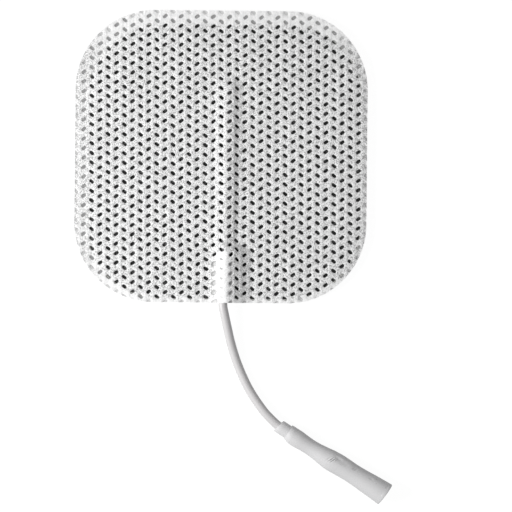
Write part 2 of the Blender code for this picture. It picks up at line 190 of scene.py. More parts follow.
def addBump(tree, shader, height, strength, distance):
    node = addNode(tree, "ShaderNodeBump")
    node.inputs["Strength"].default_value = strength
    node.inputs["Distance"].default_value = distance
    tree.links.new(height, node.inputs["Height"])
    tree.links.new(node.outputs["Normal"], shader.inputs["Normal"])


# Camera straight above the pad, turned a little, as the photograph was taken

photoView = {
    "padPixels": 292.3,
    "padCentre": (220.98, 156.54),
    "framePixels": 512,
    "turn": 0.0100,
    "lensMillimetres": 150,
    "sensorMillimetres": 36,
}


def addCamera():
    metresPerPixel = (coverHigh.x - coverLow.x) / photoView["padPixels"]
    half = photoView["framePixels"] / 2
    data = bpy.data.cameras.new("camera")
    data.lens = photoView["lensMillimetres"]
    data.sensor_width = photoView["sensorMillimetres"]
    data.clip_start = 0.01
    data.clip_end = 10
    camera = bpy.data.objects.new("camera", data)
    bpy.context.scene.collection.objects.link(camera)
    distance = metresPerPixel * photoView["framePixels"] * data.lens / data.sensor_width
    centre = Matrix.Rotation(photoView["turn"], 3, "Z") @ Vector((
        (half - photoView["padCentre"][0]) * metresPerPixel,
        (photoView["padCentre"][1] - half) * metresPerPixel,
        coverLow.z + cover["thickness"] + distance,
    ))
    camera.location = centre
    camera.rotation_euler.z = photoView["turn"]
    bpy.context.scene.camera = camera


# Light: one soft lamp low on the left, and an even pale surround

lamps = {
    "keyPlace": (-0.19, -0.037, 0.135),
    "keySize": 0.12,
    "keyWatts": 0.565,
    "surround": 0.425,
    "aim": (0.0, -0.012, 0.0),
}

floorLook = {
    "colour": (0.37, 0.37, 0.37),
    "cameraWhite": 1.35,
    "shadowShare": 0.30,
    "halfWidth": 1.5,
    "gap": 0.00005,
}


def addLamp(name, place, size, watts):
    data = bpy.data.lights.new(name, "AREA")
    data.shape = "DISK"
    data.size = size
    data.energy = watts
    lamp = bpy.data.objects.new(name, data)
    bpy.context.scene.collection.objects.link(lamp)
    lamp.location = place
    lamp.rotation_mode = "QUATERNION"
    lamp.rotation_quaternion = (Vector(lamps["aim"]) - Vector(place)).to_track_quat("-Z", "Y")


def seenDirectly(tree):
    # 1 for rays from the camera, from gloss and through clear material
    path = addNode(tree, "ShaderNodeLightPath")
    seen = mathNode(tree, "MAXIMUM", path.outputs["Is Camera Ray"], path.outputs["Is Glossy Ray"])
    return mathNode(tree, "MAXIMUM", seen, path.outputs["Is Transmission Ray"])


def addSurround():
    world = bpy.data.worlds.new("surround")
    world.use_nodes = True
    tree = world.node_tree
    background = tree.nodes["Background"]
    background.inputs["Color"].default_value = (1, 1, 1, 1)
    strength = rangeNode(tree, seenDirectly(tree), 0, 1, lamps["surround"], 1.0)
    tree.links.new(strength, background.inputs["Strength"])
    bpy.context.scene.world = world


def addFloor():
    material = bpy.data.materials.new("paleFloor")
    material.use_nodes = True
    tree = material.node_tree
    shader = tree.nodes["Principled BSDF"]
    output = tree.nodes["Material Output"]
    shader.inputs["Base Color"].default_value = (*floorLook["colour"], 1)
    shader.inputs["Roughness"].default_value = 0.9
    shader.inputs["Specular IOR Level"].default_value = 0.0
    white = addNode(tree, "ShaderNodeEmission")
    white.inputs["Strength"].default_value = floorLook["cameraWhite"]
    mixer = addNode(tree, "ShaderNodeMixShader")
    share = mathNode(tree, "MULTIPLY", seenDirectly(tree), 1 - floorLook["shadowShare"])
    tree.links.new(share, mixer.inputs[0])
    tree.links.new(shader.outputs[0], mixer.inputs[1])
    tree.links.new(white.outputs[0], mixer.inputs[2])
    tree.links.new(mixer.outputs[0], output.inputs["Surface"])
    bm = bmesh.new()
    bmesh.ops.create_grid(bm, x_segments=1, y_segments=1, size=floorLook["halfWidth"])
    mesh = bpy.data.meshes.new("floor")
    bm.to_mesh(mesh)
    bm.free()
    mesh.materials.append(material)
    floor = bpy.data.objects.new("floor", mesh)
    bpy.context.scene.collection.objects.link(floor)
    floor.location.z = -floorLook["gap"]


# Shared patterns

def fibreGroup():
    # fine fibres laid in two crossing directions over a cloudy web
    group, start, end = newGroup("fibreWeb", [
        ("Place", "NodeSocketVector", None),
        ("Fineness", "NodeSocketFloat", 4200.0),
        ("Cross Angle", "NodeSocketFloat", 0.9),
    ], [("Height", "NodeSocketFloat"), ("Cloud", "NodeSocketFloat")])
    heights = []
    for side in (1, -1):
        angle = mathNode(group, "MULTIPLY", start.outputs["Cross Angle"], side)
        turn = addNode(group, "ShaderNodeVectorRotate", rotation_type="Z_AXIS")
        group.links.new(start.outputs["Place"], turn.inputs["Vector"])
        group.links.new(angle, turn.inputs["Angle"])
        stretch = addNode(group, "ShaderNodeVectorMath", operation="MULTIPLY")
        stretch.inputs[1].default_value = (0.6, 1.0, 1.0)
        group.links.new(turn.outputs[0], stretch.inputs[0])
        web = addNode(group, "ShaderNodeTexNoise", noise_dimensions="3D")
        web.inputs["Detail"].default_value = 1.0
        web.inputs["Roughness"].default_value = 0.5
        group.links.new(start.outputs["Fineness"], web.inputs["Scale"])
        group.links.new(stretch.outputs[0], web.inputs["Vector"])
        heights.append(web.outputs["Fac"])
    cloud = addNode(group, "ShaderNodeTexNoise", noise_dimensions="3D")
    cloud.inputs["Detail"].default_value = 4.0
    scale = mathNode(group, "MULTIPLY", start.outputs["Fineness"], 0.28)
    group.links.new(scale, cloud.inputs["Scale"])
    group.links.new(start.outputs["Place"], cloud.inputs["Vector"])
    both = mathNode(group, "MAXIMUM", heights[0], heights[1])
    faintCloud = mathNode(group, "MULTIPLY", cloud.outputs["Fac"], 0.2)
    group.links.new(mathNode(group, "ADD", both, faintCloud), end.inputs["Height"])
    group.links.new(cloud.outputs["Fac"], end.inputs["Cloud"])
    return group


def softGroup():
    # faint unevenness of moulded soft plastic: broad clouds and fine grain
    group, start, end = newGroup("softUneven", [
        ("Place", "NodeSocketVector", None),
        ("Broad", "NodeSocketFloat", 260.0),
        ("Fine", "NodeSocketFloat", 5200.0),
    ], [("Cloud", "NodeSocketFloat"), ("Grain", "NodeSocketFloat")])
    for label, scaleName, detail in (("Cloud", "Broad", 2.0), ("Grain", "Fine", 4.0)):
        web = addNode(group, "ShaderNodeTexNoise", noise_dimensions="3D")
        web.inputs["Detail"].default_value = detail
        group.links.new(start.outputs[scaleName], web.inputs["Scale"])
        group.links.new(start.outputs["Place"], web.inputs["Vector"])
        group.links.new(web.outputs["Fac"], end.inputs[label])
    return group


fibreWeb = fibreGroup()
softUneven = softGroup()


# Cover cloth: every hole of the lattice, the ridge over the lead, and the cut outline. The holes by
# the cut edge are closed. Beyond the film, where gel lies under it, the cloth droops, and towards the
# pad's ends it is painted paler, a painted light.

cover = {
    "thickness": 0.00035,
    "cornerRadius": 0.0136,
    "cornerCuts": 14,
    "holeLength": 0.00091,
    "holeWidth": 0.00056,
    "holePoints": 16,
    "leanForward": math.radians(37.5),
    "leanBack": math.radians(-38.5),
    "columnPitch": 0.001378,
    "rowPitch": 0.001630,
    "latticeX": -0.00001,
    "latticeY": 0.00029,
    "rowSlope": -0.0060,
    "columnLean": -0.0067,
    "rimWidth": 0.00012,
    "rimDepth": 0.00008,
    "closedBorder": 0.00065,  # holes this near the cut edge are closed
    "closedDepth": 0.00022,
    # painted shade: grey share for the closed holes and for the rims of open holes beyond the film
    "closedShade": 0.44,
    "gelRimShade": 0.15,
    # painted light: share of the paler colour beyond the film
    "gelShine": (0.0, 0.72),  # at the sides, at the ends
    "shineTurn": (-0.006, 0.004),  # from sides to ends, as y less x
    "shineReach": (-0.0004, 0.0003),  # out from the film's edge
    "edgeDroop": 0.00023,
    "droopReach": (-0.0022, 0.0016),  # out from the film's edge
    "waveHeight": 0.00004,
    "waveScale": 220.0,
    "shake": 0.00005,
    "shakeScale": 450.0,
    "shakeSeed": 5,
    # sideways shift of the hole columns, by x
    "spread": [(-0.0221, -0.00007), (-0.0200, 0), (-0.0124, 0.00004), (-0.0041, 0.00002),
               (0.0138, -0.00001), (0.0165, 0.00003), (0.0234, 0.00012)],
    "mergeDistance": 0.000002,
    "cutDistance": 0.000001,
    "cropRows": 3,  # rows of holes that a cut can reach
    "fibreColours": ((0.43, 0.43, 0.43), (0.985, 0.985, 0.985)),
    "fibreRange": (0.55, 0.70),
    # paler colour for painted light beyond the film
    "paintedGelLightColour": (1.0, 1.0, 1.0),
    # paler colour for painted light over the jacket
    "paintedJacketLightColour": (0.98, 0.98, 0.98),
    # grey for painted shade in and round the holes
    "holeShadeColour": (0.22, 0.22, 0.22),
}

film = {
    "cornerRadius": 0.0128,
    "spotsRange": (0.48, 0.74),
    "upperColours": ((0.003, 0.003, 0.003), (0.11, 0.11, 0.11)),
    "lowerColours": ((0.020, 0.020, 0.022), (0.045, 0.045, 0.047)),
}

# The ridge that the cloth makes over the lead, first over the jacket and then over the strands. Its
# line is given as y and x, its foot as left and right. It draws the hole columns sideways, by x.
# Glue fills the holes over the jacket: their depth, painted shade, painted rim shade and size go by x, and
# fade by y.
ridge = {
    "line": [(-0.0256, 0.00062), (-0.0240, 0.00056), (-0.0220, 0.00060), (-0.0190, 0.00066),
             (-0.0164, 0.00069), (-0.0135, 0.00091), (-0.0075, 0.00110), (0.0009, 0.00114),
             (0.0119, 0.00117)],
    "jacketEnd": -0.0164,
    "strandEnd": 0.0119,
    "strandLift": 0.00072,
    "jacketFoot": (0.0026, 0.0051),
    "strandFoot": (0.0027, 0.0024),
    "crestRounding": 0.45,
    "footRounding": 0.30,
    "upperShift": (0.00050, 0.00014),  # over the jacket, over the strands
    "upperRounding": 0.34,
    "stepLength": 0.0018,
    "fadeLength": 0.0016,
    "jacketDraw": [(-0.0130, 0.00006), (-0.0068, 0.00018), (-0.0040, 0.00022), (-0.0026, 0.00017),
                   (-0.0012, 0.00048), (0.0001, 0.00010), (0.0008, 0.00043), (0.0015, 0.00039),
                   (0.0020, 0.00026), (0.0025, -0.00004), (0.0034, -0.00013), (0.0043, -0.00014),
                   (0.0056, -0.00012), (0.0070, -0.00006), (0.0084, -0.00009), (0.0130, 0)],
    "strandDraw": [(-0.0130, 0), (-0.0069, 0.00005), (-0.0041, 0.00003), (-0.0013, 0.00009),
                   (0.0001, 0.00012), (0.0009, 0.00011), (0.0018, 0.00008), (0.0024, -0.00013),
                   (0.0032, -0.00013), (0.0041, -0.00008), (0.0055, -0.00008), (0.0069, -0.00003),
                   (0.0083, -0.00004), (0.0097, 0)],
    "jacketPush": 0.00012,
    "pushReach": (0.0012, 0.0045),
    "gluedSide": (-0.0016, 0.0024),
    "gluedEnd": -0.0171,
    "gluedDepth": [(-0.0009, 0.00026), (-0.0003, 0.00008), (0.0008, 0.00008), (0.0014, 0.00026)],
    # painted shade in the glued holes and on their rims, by x
    "gluedShade": [(-0.0009, 0.30), (-0.0003, 0.70), (0.0008, 0.70), (0.0014, 0.9)],
    "gluedRimShade": [(-0.0009, 0.70), (-0.0003, 0.0), (0.0008, 0.0), (0.0014, 0.2)],
    "gluedShare": [(-0.0009, 0.9), (-0.0003, 0.55), (0.0008, 0.55), (0.0014, 0.85)],
    "gluedFade": [(-0.0240, 0.35), (-0.0180, 1.0)],
    # painted light: where the cloth over the jacket is painted paler
    "shineSide": (-0.0007, 0.0014),
    "shineSoftness": 0.0007,
    "shineEnd": (-0.0002, 0.0004),
    "shineShare": 0.8,
}
ridge["jacketLift"] = coverHigh.z - coverLow.z - cover["thickness"]


def tent(share, crest):
    # height across the ridge: straight sides between a rounded crest and a rounded foot
    foot = ridge["footRounding"]
    slope = 1 / (1 - crest / 2 - foot / 2)
    if share < crest:
        return 1 - slope * share ** 2 / (2 * crest)
    if share < 1 - foot:
        return 1 - slope * (share - crest / 2)
    if share < 1:
        return slope * (1 - share) ** 2 / (2 * foot)
    return 0.0


def ridgeShares(y):
    # how far the strands have taken over from the jacket, and how far the ridge still stands
    bare = smoothStep(y, ridge["jacketEnd"], ridge["jacketEnd"] + ridge["stepLength"])
    return bare, 1 - smoothStep(y, ridge["strandEnd"], ridge["strandEnd"] + ridge["fadeLength"])


def ridgeLift(x, y, upper=False):
    # the upper side of the cloth stands a little to the right of the lower one
    bare, fade = ridgeShares(y)
    shift = mix(*ridge["upperShift"], bare) if upper else 0.0
    across = x - between(ridge["line"], y) - shift
    side = 0 if across < 0 else 1
    foot = mix(ridge["jacketFoot"][side], ridge["strandFoot"][side], bare) + (shift, -shift)[side]
    rounding = ridge["upperRounding"] if upper else ridge["crestRounding"]
    lift = mix(ridge["jacketLift"], ridge["strandLift"], bare) * fade
    return lift * tent(abs(across) / foot, rounding)


def drawnIn(x, y):
    # sideways pull of the ridge on the cloth
    bare, fade = ridgeShares(y)
    return mix(between(ridge["jacketDraw"], x), between(ridge["strandDraw"], x), bare) * fade


def pushedUp(x, y):
    # lengthways push of the jacket on the cloth
    beside = abs(x - between(ridge["line"], y))
    return ridge["jacketPush"] * (1 - smoothStep(beside, *ridge["pushReach"])) * (1 - ridgeShares(y)[0])


def insideCover(x, y):
    # distance inside the cover's rounded outline
    radius = cover["cornerRadius"]
    overX = abs(x) - coverHigh.x + radius
    overY = abs(y) - coverHigh.y + radius
    return radius - math.hypot(max(overX, 0), max(overY, 0)) - min(max(overX, overY), 0)


def beyondFilm(x, y):
    # distance outside the film's rounded outline, below zero over the film
    radius = film["cornerRadius"]
    middle = (filmLow + filmHigh) / 2
    half = (filmHigh - filmLow) / 2
    overX = abs(x - middle.x) - half.x + radius
    overY = abs(y - middle.y) - half.y + radius
    return math.hypot(max(overX, 0), max(overY, 0)) - radius + min(max(overX, overY), 0)


def slotRing(bm):
    # a circle pulled apart into a slot, lying along X
    radius = cover["holeWidth"] / 2
    ring = bmesh.ops.create_circle(bm, segments=cover["holePoints"], radius=radius)["verts"]
    reach = cover["holeLength"] / 2 - radius
    for vert in ring:
        if abs(vert.co.x) > radius / 50:
            vert.co.x += math.copysign(reach, vert.co.x)
    return ring


def growSlot(verts, lean, amount):
    # the leaning slot's outline, moved outwards
    reach = (cover["holeLength"] - cover["holeWidth"]) / 2
    spin = Matrix.Rotation(lean, 3, "Z")
    for vert in verts:
        flat = spin.transposed() @ Vector((vert.co.x, vert.co.y, 0))
        core = Vector((min(max(flat.x, -reach), reach), 0, 0))
        grown = spin @ (flat + (flat - core).normalized() * amount)
        vert.co.x, vert.co.y = grown.x, grown.y


def cellBorder():
    # points round the lattice cell, a quarter of each side apart
    halfX, halfY = cover["columnPitch"] / 2, cover["rowPitch"] / 2
    points = []
    for part in (-1, -0.5, 0, 0.5):
        points += [(halfX, part * halfY), (-part * halfX, halfY)]
        points += [(-halfX, -part * halfY), (part * halfX, -halfY)]
    return sorted(points, key=lambda point: math.atan2(point[1], point[0]))


def spreadToBorder(verts):
    # moves a ring out to the cell's border, each point to the one that lies most in its direction
    border = cellBorder()
    ring = sorted(verts, key=lambda vert: math.atan2(vert.co.y, vert.co.x))
    count = len(ring)

    def likeness(shift):
        there = [Vector(border[(place + shift) % count]).normalized() for place in range(count)]
        return sum(vert.co.xy.normalized().dot(way) for vert, way in zip(ring, there))

    best = max(range(count), key=likeness)
    for place, vert in enumerate(ring):
        vert.co.x, vert.co.y = border[(place + best) % count]


def punchedCell(lean, place):
    # one flat cell of the cloth round its hole; the hole's edge lies lower, at the foot of its rim
    bm = bmesh.new()
    ring = slotRing(bm)
    bmesh.ops.rotate(bm, verts=ring, cent=(0, 0, 0), matrix=Matrix.Rotation(lean, 3, "Z"))
    for vert in ring:
        vert.co.z = -cover["rimDepth"]
    rim = bmesh.ops.extrude_edge_only(bm, edges=bm.edges[:])
    growSlot(newVerts(rim), lean, cover["rimWidth"])
    outer = bmesh.ops.extrude_edge_only(bm, edges=newEdges(rim))
    spreadToBorder(newVerts(outer))
    for vert in newVerts(rim) + newVerts(outer):
        vert.co.z = 0
    bmesh.ops.translate(bm, verts=bm.verts[:], vec=place)
    mesh = bpy.data.meshes.new("cell")
    bm.to_mesh(mesh)
    bm.free()
    return mesh


def repeat(bm, step, count):
    # the whole of it, copied in a row
    unit = everything(bm)
    for turn in range(1, count):
        copy = bmesh.ops.duplicate(bm, geom=unit)
        bmesh.ops.translate(bm, verts=newVerts(copy), vec=step * turn)


def holeRings(bm):
    # the boundary loops of the flat layer, each hole's ring of edges by itself
    waiting = dict.fromkeys(edge for edge in bm.edges if edge.is_boundary)
    while waiting:
        ring = [waiting.popitem()[0]]
        for edge in ring:
            for vert in edge.verts:
                for other in vert.link_edges:
                    if other in waiting:
                        del waiting[other]
                        ring.append(other)
        if len(ring) == cover["holePoints"]:
            yield ring


def glueHole(filled, rim, centre, holeShade):
    # glue leaves these smaller and shallower, with painted shade in them and on their rims; in the middle
    # ones the painted shade is fainter towards the cut edge
    for vert in filled.verts:
        vert.co = centre + (vert.co - centre) * between(ridge["gluedShare"], centre.x)
        vert.co.z = -between(ridge["gluedDepth"], centre.x)
    fade = between(ridge["gluedFade"], centre.y) if abs(centre.x) < cover["holeWidth"] else 1.0
    filled[holeShade] = between(ridge["gluedShade"], centre.x) * fade
    for face in rim:
        face[holeShade] = between(ridge["gluedRimShade"], centre.x)


def closeHoles(bm):
    # holes by the cut edge are closed, and glue fills those over the jacket; both get painted shade, a grey
    # that stands in for the shadow in a hole, and so do the rims of open holes beyond the film
    holeShade = bm.faces.layers.float.new("holeShade")
    for ring in list(holeRings(bm)):
        verts = list(dict.fromkeys(vert for edge in ring for vert in edge.verts))
        rim = list(dict.fromkeys(face for edge in ring for face in edge.link_faces))
        centre = sum((vert.co for vert in verts), Vector()) / len(verts)
        left, right = ridge["gluedSide"]
        glued = centre.y < ridge["gluedEnd"] and left < centre.x < right
        if glued or insideCover(centre.x, centre.y) < cover["closedBorder"]:
            filled = bm.faces.new(sorted(verts, key=lambda vert: math.atan2(*(vert.co - centre).yx)))
            filled[holeShade] = cover["closedShade"]
            for vert in verts:
                vert.co.z = -cover["closedDepth"]
            if glued:
                glueHole(filled, rim, centre, holeShade)
        elif beyondFilm(centre.x, centre.y) > -cover["holeWidth"] / 2:
            for face in rim:
                face[holeShade] = cover["gelRimShade"]


def cropTo(bm, point, outward):
    # cuts off what lies beyond a plane; only the last rows before it are looked at
    reach = cover["cropRows"] * cover["rowPitch"]
    near = [vert for vert in bm.verts if (vert.co - point).dot(outward) > -reach]
    faces = dict.fromkeys(face for vert in near for face in vert.link_faces)
    verts = dict.fromkeys(vert for face in faces for vert in face.verts)
    edges = dict.fromkeys(edge for face in faces for edge in face.edges)
    bmesh.ops.bisect_plane(bm, geom=list(verts) + list(edges) + list(faces), plane_co=point,
                           plane_no=outward, dist=cover["cutDistance"], clear_outer=True)


def cropToOutline(bm):
    halfX, halfY = coverHigh.x, coverHigh.y
    radius = cover["cornerRadius"]
    for x, y in ((1, 0), (0, 1), (-1, 0), (0, -1)):
        cropTo(bm, Vector((x * halfX, y * halfY, 0)), Vector((x, y, 0)))
    cuts = cover["cornerCuts"]
    for signX in (1, -1):
        for signY in (1, -1):
            centre = Vector((signX * (halfX - radius), signY * (halfY - radius), 0))
            for cut in range(1, cuts):
                angle = math.pi / 2 * cut / cuts
                outward = Vector((signX * math.cos(angle), signY * math.sin(angle), 0))
                cropTo(bm, centre + outward * radius, outward)


def layCloth(bm, topVerts):
    # the flat layer becomes the underside, its copy the upper side with the holes' rounded rims
    step = 0.00002
    paintedGelLight = bm.verts.layers.float["paintedGelLight"]
    for vert in bm.verts:
        x, y, depth = vert.co
        # painted light: the cloth beyond the film is painted paler, most at the pad's ends
        shine = mix(*cover["gelShine"], smoothStep(abs(y) - abs(x), *cover["shineTurn"]))
        vert[paintedGelLight] = shine * smoothStep(beyondFilm(x, y), *cover["shineReach"])
        upper = vert in topVerts
        lift = ridgeLift(x, y, upper)
        vert.co.z = coverLow.z + lift
        if upper:
            slopeX = (ridgeLift(x + step, y, True) - lift) / step
            slopeY = (ridgeLift(x, y + step, True) - lift) / step
            up = Vector((-slopeX, -slopeY, 1)).normalized()
            droop = cover["edgeDroop"] * smoothStep(beyondFilm(x, y), *cover["droopReach"])
            wave = cover["waveHeight"] * noise.noise(Vector((x, y, 0)) * cover["waveScale"])
            vert.co += up * (cover["thickness"] + depth) * (1 - droop / cover["thickness"])
            vert.co.z += wave


def makeCover():
    bm = bmesh.new()
    bm.verts.layers.float.new("paintedGelLight")
    pitchX, pitchY = cover["columnPitch"], cover["rowPitch"]
    columns = math.ceil(coverHigh.x / pitchX / 2) * 2 + 2
    rows = math.ceil(coverHigh.y / pitchY) + 2
    cells = [punchedCell(cover["leanBack"], Vector((0, 0, 0))),
             punchedCell(cover["leanForward"], Vector((pitchX, pitchY / 2, 0)))]
    for cell in cells:
        bm.from_mesh(cell)
        bpy.data.meshes.remove(cell)
    corner = Vector((cover["latticeX"] - columns * pitchX, cover["latticeY"] - rows * pitchY, 0))
    bmesh.ops.translate(bm, verts=bm.verts[:], vec=corner)
    repeat(bm, Vector((0, pitchY, 0)), 2 * rows + 1)
    repeat(bm, Vector((2 * pitchX, 0, 0)), columns + 1)
    bmesh.ops.remove_doubles(bm, verts=bm.verts[:], dist=cover["mergeDistance"])
    noise.seed_set(cover["shakeSeed"])  # without it noise_vector differs in each run
    for vert in bm.verts:
        vert.co.x += cover["columnLean"] * vert.co.y
        vert.co.y += cover["rowSlope"] * vert.co.x
        vert.co.y += pushedUp(vert.co.x, vert.co.y)
        vert.co.x += drawnIn(vert.co.x, vert.co.y) + between(cover["spread"], vert.co.x)
        shaken = noise.noise_vector(Vector((vert.co.x, vert.co.y, 0)) * cover["shakeScale"])
        vert.co.x += cover["shake"] * shaken.x
        vert.co.y += cover["shake"] * shaken.y
    closeHoles(bm)
    cropToOutline(bm)
    topVerts = set(newVerts(bmesh.ops.extrude_face_region(bm, geom=bm.faces[:])))
    layCloth(bm, topVerts)
    cloth = addPiece("coverCloth", bm, clothMaterial(), ["cover_fabric"], sharpAngle=60)
    print("stage: cover cloth,", len(cloth.data.polygons), "faces")


def clothMaterial():
    material, tree, shader = newMaterial("coverCloth", Roughness=0.92, Specular_IOR_Level=0.25)
    web = useGroup(tree, fibreWeb, Fineness=6400.0, Cross_Angle=0.85)
    share = rangeNode(tree, web.outputs["Height"], *cover["fibreRange"], 0.0, 1.0)
    colour = mixColours(tree, share, *cover["fibreColours"])
    holeShade = addNode(tree, "ShaderNodeAttribute", attribute_name="holeShade")
    # painted light: paler cloth beyond the film
    paintedGelLight = addNode(tree, "ShaderNodeAttribute", attribute_name="paintedGelLight")
    colour = mixColours(tree, paintedGelLight.outputs["Fac"], colour, cover["paintedGelLightColour"])
    colour = mixColours(tree, paintedJacketLight(tree), colour, cover["paintedJacketLightColour"])
    # painted shade in and round the holes
    colour = mixColours(tree, holeShade.outputs["Fac"], colour, cover["holeShadeColour"])
    tree.links.new(colour, shader.inputs["Base Color"])
    addBump(tree, shader, web.outputs["Height"], 1.0, 0.00018)
    return material


def paintedJacketLight(tree):
    # painted light: the cloth over the white jacket is painted paler, standing in for the jacket shining
    # through the thin cloth; over the black film it is not
    place = addNode(tree, "ShaderNodeTexCoord").outputs["Object"]
    apart = addNode(tree, "ShaderNodeSeparateXYZ")
    tree.links.new(place, apart.inputs[0])
    left, right = ridge["shineSide"]
    soft = ridge["shineSoftness"]
    across = mathNode(tree, "SUBTRACT", apart.outputs["X"], (left + right) / 2)
    half = (right - left) / 2
    side = rangeNode(tree, mathNode(tree, "ABSOLUTE", across, 0), half - soft, half + soft,
                     ridge["shineShare"], 0.0)
    endLow, endHigh = ridge["shineEnd"]
    before = rangeNode(tree, apart.outputs["Y"], ridge["jacketEnd"] + endLow, ridge["jacketEnd"] + endHigh,
                       1.0, 0.0)
    return mathNode(tree, "MULTIPLY", side, before)


# Gel pad and carbon film under the cloth

gel = {
    "cornerRadius": 0.0134,
    "cornerPoints": 24,
    "edgeRounding": 0.00022,
    "edgePoints": 4,
    "recessClearance": 0.0001,
    "recessFloorGap": 0.00005,
    # painted shade on the gel's top side
    "topShadeSkin": 0.00005,
    "topShadeColour": (0.28, 0.28, 0.29),
    "clearColours": ((0.86, 0.87, 0.82), (0.94, 0.94, 0.90)),
    "sideBlend": 0.00001,
}


def roundedFace(bm, low, high, radius):
    # a rectangle whose corners are bevelled round
    corners = bmesh.ops.create_grid(bm, x_segments=1, y_segments=1, size=0.5)["verts"]
    for vert in corners:
        left, front = vert.co.x < 0, vert.co.y < 0
        vert.co = Vector((low.x if left else high.x, low.y if front else high.y, low.z))
    rounded = bmesh.ops.bevel(bm, geom=corners, offset=radius, offset_type="OFFSET",
                              segments=gel["cornerPoints"], profile=0.5, affect="VERTICES", material=-1,
                              clamp_overlap=False)
    return rounded["verts"][0].link_faces[0]


def extrudedFace(bm, face, keepFirst=False):
    made = bmesh.ops.extrude_face_region(bm, geom=[face])["geom"]
    if not keepFirst:
        bmesh.ops.delete(bm, geom=[face], context="FACES_ONLY")
    return next(item for item in made if isinstance(item, bmesh.types.BMFace))


def fitFace(face, old, new):
    # the rounded outline takes another size and corner radius
    (oldLow, oldHigh, oldRadius), (newLow, newHigh, newRadius) = old, new
    middle = (oldLow + oldHigh) / 2
    for vert in face.verts:
        for axis in (0, 1):
            if vert.co[axis] > middle[axis]:
                outward = (vert.co[axis] - oldHigh[axis] + oldRadius) / oldRadius
                vert.co[axis] = newHigh[axis] - newRadius + outward * newRadius
            else:
                outward = (vert.co[axis] - oldLow[axis] - oldRadius) / oldRadius
                vert.co[axis] = newLow[axis] + newRadius + outward * newRadius


def makeGel():
    bm = bmesh.new()
    clearance = Vector((gel["recessClearance"], gel["recessClearance"], 0))
    outline = (gelLow, gelHigh, gel["cornerRadius"])
    recess = (filmLow - clearance, filmHigh + clearance, film["cornerRadius"] + gel["recessClearance"])
    bottom = roundedFace(bm, *outline)
    top = extrudedFace(bm, bottom, keepFirst=True)
    bmesh.ops.translate(bm, verts=top.verts[:], vec=(0, 0, gelHigh.z - gelLow.z))
    outerEdges = bottom.edges[:] + top.edges[:]
    mouth = extrudedFace(bm, top)
    fitFace(mouth, outline, recess)
    bed = extrudedFace(bm, mouth)
    bedHeight = filmLow.z - gel["recessFloorGap"]
    bmesh.ops.translate(bm, verts=bed.verts[:], vec=(0, 0, bedHeight - gelHigh.z))
    bmesh.ops.bevel(bm, geom=outerEdges, offset=gel["edgeRounding"], offset_type="OFFSET",
                    segments=gel["edgePoints"], profile=0.5, affect="EDGES", material=-1)
    addPiece("gelPad", bm, gelMaterial(), ["gel_layer"])
    print("stage: gel pad")


def upperSide(tree, height):
    # 1 above a height on the piece, 0 below it
    apart = addNode(tree, "ShaderNodeSeparateXYZ")
    tree.links.new(addNode(tree, "ShaderNodeTexCoord").outputs["Object"], apart.inputs[0])
    blend = gel["sideBlend"]
    return rangeNode(tree, apart.outputs["Z"], height - blend, height + blend, 0.0, 1.0)


def gelMaterial():
    # clear below; its top side is painted dark grey, a painted shade for the shadow under the cloth
    material, tree, shader = newMaterial("hydrogel", Roughness=0.22, IOR=1.40, Transmission_Weight=0.6)
    soft = useGroup(tree, softUneven, Broad=180.0, Fine=2400.0)
    colour = mixColours(tree, soft.outputs["Cloud"], *gel["clearColours"])
    colour = mixColours(tree, upperSide(tree, gelHigh.z - gel["topShadeSkin"]), colour, gel["topShadeColour"])
    tree.links.new(colour, shader.inputs["Base Color"])
    addBump(tree, shader, soft.outputs["Cloud"], 0.25, 0.0001)
    return material


def dress(nodeName, material):
    # a CAD node that keeps its shape gets this finish
    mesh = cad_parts[nodeName].data
    mesh.materials.clear()
    mesh.materials.append(material)


def filmMaterial():
    # black, and lighter grey in random spots on its upper side
    material, tree, shader = newMaterial("carbonFilm", Roughness=0.6, Specular_IOR_Level=0.3)
    soft = useGroup(tree, softUneven, Broad=400.0, Fine=1500.0)
    spots = rangeNode(tree, soft.outputs["Grain"], *film["spotsRange"], 0.0, 1.0)
    above = mixColours(tree, spots, *film["upperColours"])
    below = mixColours(tree, soft.outputs["Grain"], *film["lowerColours"])
    colour = mixColours(tree, upperSide(tree, (filmLow.z + filmHigh.z) / 2), below, above)
    tree.links.new(colour, shader.inputs["Base Color"])
    return material


# Lead: jacket, collar, sleeve and contact

lead = {
    "diameter": 0.0015,
    "exit": (0.00059, -0.025, 0.0020),
    "length": 0.038,
    "route": [
        (0.00069, -0.0164, 0.0020), (0.00066, -0.0190, 0.0020), (0.00060, -0.0220, 0.0020),
        (0.00056, -0.0240, 0.0020), (0.00062, -0.0256, 0.0020), (0.00079, -0.0265, 0.00196),
        (0.00107, -0.0278, 0.00181), (0.00145, -0.0295, 0.00153), (0.00189, -0.0314, 0.00121),
        (0.00249, -0.0335, 0.00096), (0.00319, -0.0355, 0.00082), (0.00404, -0.0375, 0.00079),
        (0.00509, -0.0396, 0.00086), (0.00635, -0.0416, 0.00103), (0.00784, -0.0436, 0.00126),
        (0.00909, -0.0449, 0.00142),
    ],
    "intoCollar": (-0.0004, 0.0010, 0.0024, 0.0048),
    "smoothness": 10,
    "roundness": 8,
    "colours": ((0.560, 0.548, 0.552), (0.600, 0.590, 0.594)),
}

strands = {
    "colours": ((0.03, 0.03, 0.033), (0.16, 0.16, 0.165)),
    "threadRange": (0.35, 0.70),
    "threadScale": (9000, 900, 9000),
}

socket = {
    "back": (0.01054, -0.04611),
    "turn": math.radians(-32.4),
    "length": 0.0215,
    "segments": 120,
    "mouthDiameter": 0.0041,
    "swellDiameter": 0.00362,
    "swellPlace": 0.0116,
    "mergeDistance": 0.0000001,
}


